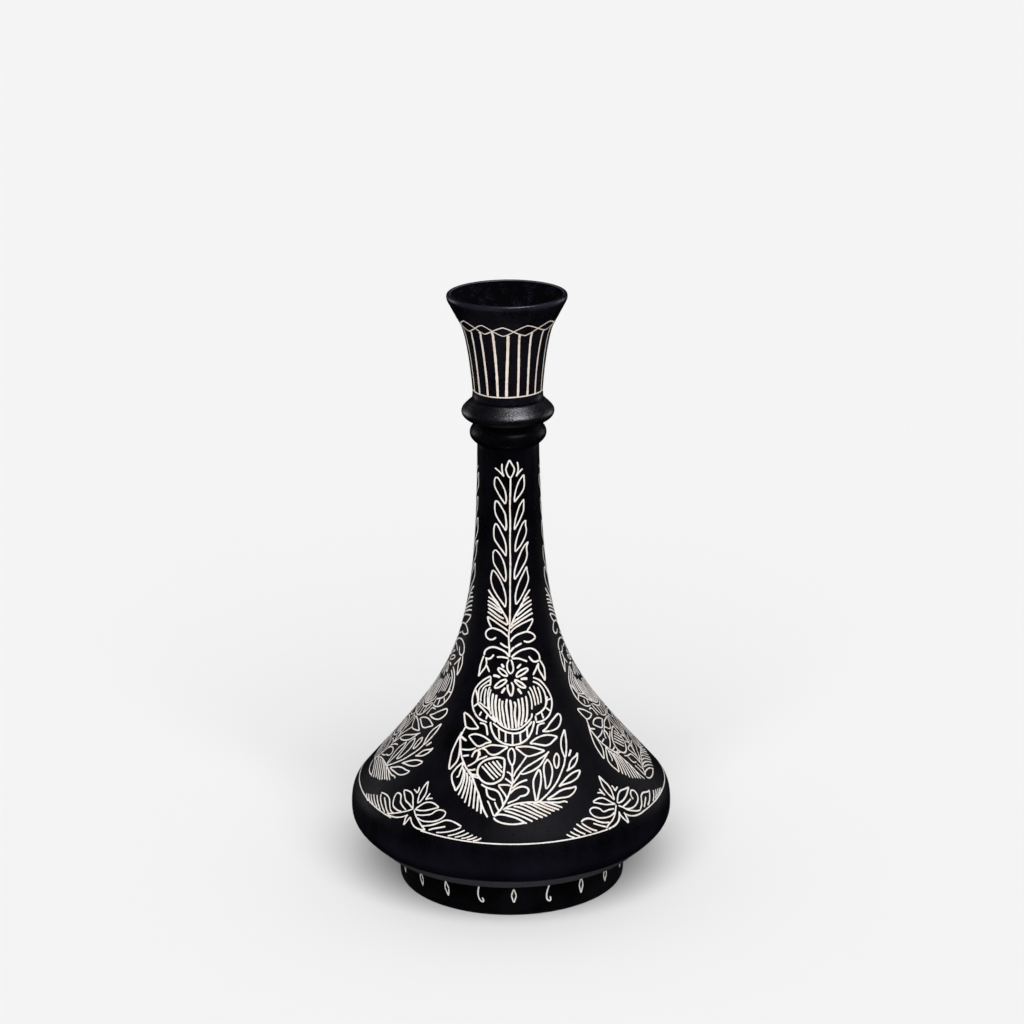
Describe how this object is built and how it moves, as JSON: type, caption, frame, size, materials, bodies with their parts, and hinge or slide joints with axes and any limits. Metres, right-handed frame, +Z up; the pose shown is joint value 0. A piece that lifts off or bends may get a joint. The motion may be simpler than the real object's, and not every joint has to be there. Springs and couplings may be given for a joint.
{
  "type": "clay bottle vase",
  "caption": "Tall black clay water bottle with a squat round belly on a foot ring, a long narrow beaded neck and a flared fluted mouth cup, drawn all over with pale filled lines.",
  "frame": {"origin": "middle of the ring that the foot rests on, on the surface it stands on", "axes": "+Z up along the axis the pot is turned about; the middle of one flowered panel faces -Y"},
  "size_m": [0.1606, 0.1606, 0.301],
  "materials": {
    "burnished_clay": "burnished black clay, a soft satin sheen",
    "bare_clay": "smoothed black clay, duller than the belly",
    "pale_paste": "dry pale paste in cut lines"
  },
  "bodies": {
    "root": {"foot_ring": "bare_clay", "belly_bowl": "burnished_clay", "neck_bell": "burnished_clay", "lower_bead": "burnished_clay", "upper_bead": "burnished_clay", "mouth_cup": "burnished_clay", "belly_ring_fill": "pale_paste", "cup_flute_fill": "pale_paste", "cup_diamond_fill": "pale_paste", "panel_fill_1": "pale_paste", "panel_fill_2": "pale_paste", "panel_fill_3": "pale_paste", "panel_fill_4": "pale_paste", "spray_fill_1": "pale_paste", "spray_fill_2": "pale_paste", "spray_fill_3": "pale_paste", "spray_fill_4": "pale_paste", "foot_lozenge_fill_1": "pale_paste", "foot_lozenge_fill_2": "pale_paste", "foot_lozenge_fill_3": "pale_paste", "foot_lozenge_fill_4": "pale_paste", "foot_lozenge_fill_5": "pale_paste", "foot_lozenge_fill_6": "pale_paste", "foot_lozenge_fill_7": "pale_paste", "foot_lozenge_fill_8": "pale_paste", "foot_lozenge_fill_9": "pale_paste", "foot_lozenge_fill_10": "pale_paste", "foot_lozenge_fill_11": "pale_paste", "foot_lozenge_fill_12": "pale_paste", "foot_lozenge_fill_13": "pale_paste", "foot_lozenge_fill_14": "pale_paste", "foot_lozenge_fill_15": "pale_paste", "foot_lozenge_fill_16": "pale_paste", "foot_lozenge_fill_17": "pale_paste", "foot_lozenge_fill_18": "pale_paste", "foot_lozenge_fill_19": "pale_paste", "foot_lozenge_fill_20": "pale_paste"}
  },
  "joints": []
}
